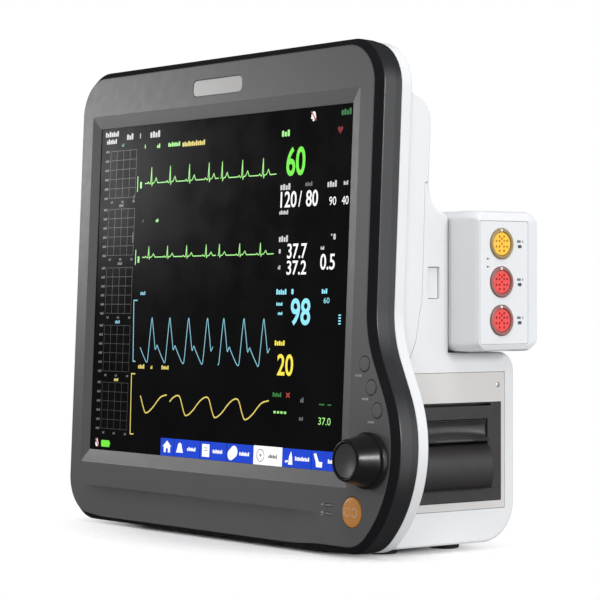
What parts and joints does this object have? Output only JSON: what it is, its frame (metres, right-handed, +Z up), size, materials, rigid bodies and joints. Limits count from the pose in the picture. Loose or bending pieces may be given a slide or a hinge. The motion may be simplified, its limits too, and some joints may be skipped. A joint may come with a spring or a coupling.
{
  "type": "patient monitor",
  "caption": "Bedside patient monitor: leaning display with push-and-turn knob and keys, flared lower corner, side strip recorder, plug-in pressure module and sockets for patient leads.",
  "frame": {"origin": "centre of the footprint of the whole object, on the surface the feet stand on", "axes": "+X to the right of a person facing the screen, +Y away from them through the back, +Z up"},
  "size_m": [0.432, 0.181, 0.3778],
  "materials": {
    "bezel": "fine satin texture",
    "screen_glass": "glossy",
    "lcd": "glossy",
    "sheet_metal": "brushed sheet",
    "lamp_lens": "frosted",
    "circuit_board": "solder mask",
    "key": "satin rubber-touch plastic",
    "power_key": "satin",
    "light_guide": "clear smoked",
    "knob": "glossy",
    "knob_cap": "satin",
    "steel": "turned",
    "white_case": "light satin",
    "recorder_plate": "satin",
    "recorder_black": "satin",
    "rubber": "matte",
    "paper": "thermal paper",
    "label": "satin label",
    "socket_shell": "satin",
    "yellow_insert": "satin",
    "red_insert": "satin",
    "grey_plastic": "satin",
    "battery": "shrink-wrapped",
    "brass": "plated"
  },
  "bodies": {
    "case": {"front_bezel": "bezel", "screen_glass": "screen_glass", "lcd_panel": "lcd", "lcd_bracket": "sheet_metal", "alarm_lamp_lens": "lamp_lens", "alarm_lamp_board": "circuit_board", "status_light_guide": "light_guide", "key_board": "circuit_board", "encoder_body": "grey_plastic", "front_housing": "white_case", "rear_housing": "white_case", "recorder_plate": "recorder_plate", "recorder_plate_screw": "steel", "recorder_frame": "recorder_black", "print_head": "sheet_metal", "module_rack": "white_case", "main_board": "circuit_board", "power_supply": "sheet_metal", "battery_pack": "battery", "speaker": "recorder_black", "nibp_pump": "grey_plastic", "parameter_board": "circuit_board", "patient_panel": "recorder_plate", "ecg_socket": "grey_plastic", "spo2_socket": "grey_plastic", "temp_socket_1": "grey_plastic", "temp_socket_2": "grey_plastic", "nibp_port": "grey_plastic", "port_panel": "recorder_plate", "io_board": "circuit_board", "mains_inlet": "recorder_black", "earth_stud": "brass", "mounting_plate": "steel", "foot_front_left": "rubber", "foot_front_right": "rubber", "foot_rear_left": "rubber", "foot_rear_right": "rubber"},
    "key_1": {"function_button_1": "key"},
    "key_2": {"function_button_2": "key"},
    "key_3": {"function_button_3": "key"},
    "power_key": {"power_button": "power_key"},
    "encoder_push": {"encoder_plunger": "steel"},
    "knob": {"navigation_knob": "knob", "knob_cap": "knob_cap", "knob_shaft": "steel"},
    "recorder_door": {"recorder_door": "recorder_black"},
    "recorder_latch": {"recorder_latch": "recorder_black"},
    "platen": {"platen_roller": "rubber"},
    "paper": {"paper_roll": "paper"},
    "plug_in_module": {"module_housing": "white_case", "module_face": "label", "module_board": "circuit_board", "socket_ring_1": "socket_shell", "socket_ring_2": "socket_shell", "socket_ring_3": "socket_shell", "socket_insert_1": "yellow_insert", "socket_insert_2": "red_insert", "socket_insert_3": "red_insert"},
    "module_latch": {"module_release_latch": "white_case"},
    "battery_door": {"battery_door": "white_case"}
  },
  "joints": [
    {"name": "key_1_press", "type": "slide", "parent": "case", "child": "key_1", "axis": [0, 0.999, -0.0448], "range_m": [0, 0.0006], "stiffness_N_per_m": 900, "springref_m": -0.0006},
    {"name": "key_2_press", "type": "slide", "parent": "case", "child": "key_2", "axis": [0, 0.999, -0.0448], "range_m": [0, 0.0006], "stiffness_N_per_m": 900, "springref_m": -0.0006},
    {"name": "key_3_press", "type": "slide", "parent": "case", "child": "key_3", "axis": [0, 0.999, -0.0448], "range_m": [0, 0.0006], "stiffness_N_per_m": 900, "springref_m": -0.0006},
    {"name": "power_key_press", "type": "slide", "parent": "case", "child": "power_key", "axis": [0, 0.999, -0.0448], "range_m": [0, 0.0008], "stiffness_N_per_m": 900, "springref_m": -0.0008},
    {"name": "knob_push", "type": "slide", "parent": "case", "child": "encoder_push", "axis": [0, 0.999, -0.0448], "range_m": [0, 0.0006], "stiffness_N_per_m": 1500, "springref_m": -0.0012},
    {"name": "knob_turn", "type": "hinge", "parent": "encoder_push", "child": "knob", "pos_m": [0.19, -0.06737, 0.07182], "axis": [0, -0.999, 0.0448], "continuous": true},
    {"name": "recorder_door_hinge", "type": "hinge", "parent": "case", "child": "recorder_door", "pos_m": [0.1855, 0.01895, 0.048], "axis": [0, 1, 0], "range_deg": [0, 85]},
    {"name": "recorder_latch_pull", "type": "hinge", "parent": "case", "child": "recorder_latch", "pos_m": [0.1795, 0.01855, 0.0968], "axis": [0, -1, 0], "range_deg": [0, 10], "stiffness_Nm_per_rad": 0.3, "springref_deg": -5.73},
    {"name": "paper_turn", "type": "hinge", "parent": "case", "child": "paper", "pos_m": [0.134, 0.01855, 0.069], "axis": [0, 1, 0], "continuous": true},
    {"name": "platen_turn", "type": "hinge", "parent": "case", "child": "platen", "pos_m": [0.1722, 0.01855, 0.073], "axis": [0, 1, 0], "continuous": true},
    {"name": "module_withdraw", "type": "slide", "parent": "case", "child": "plug_in_module", "axis": [1, 0, 0], "range_m": [0, 0.135]},
    {"name": "module_latch_press", "type": "slide", "parent": "case", "child": "module_latch", "axis": [-1, 0, 0], "range_m": [0, 0.0015], "stiffness_N_per_m": 800, "springref_m": -0.001},
    {"name": "battery_door_hinge", "type": "hinge", "parent": "case", "child": "battery_door", "pos_m": [-0.106, 0.08085, 0.04], "axis": [-1, 0, 0], "range_deg": [0, 110]}
  ],
  "couplings": [
    {"joint": "platen_turn", "follows": "paper_turn", "ratio": -4.4565}
  ]
}
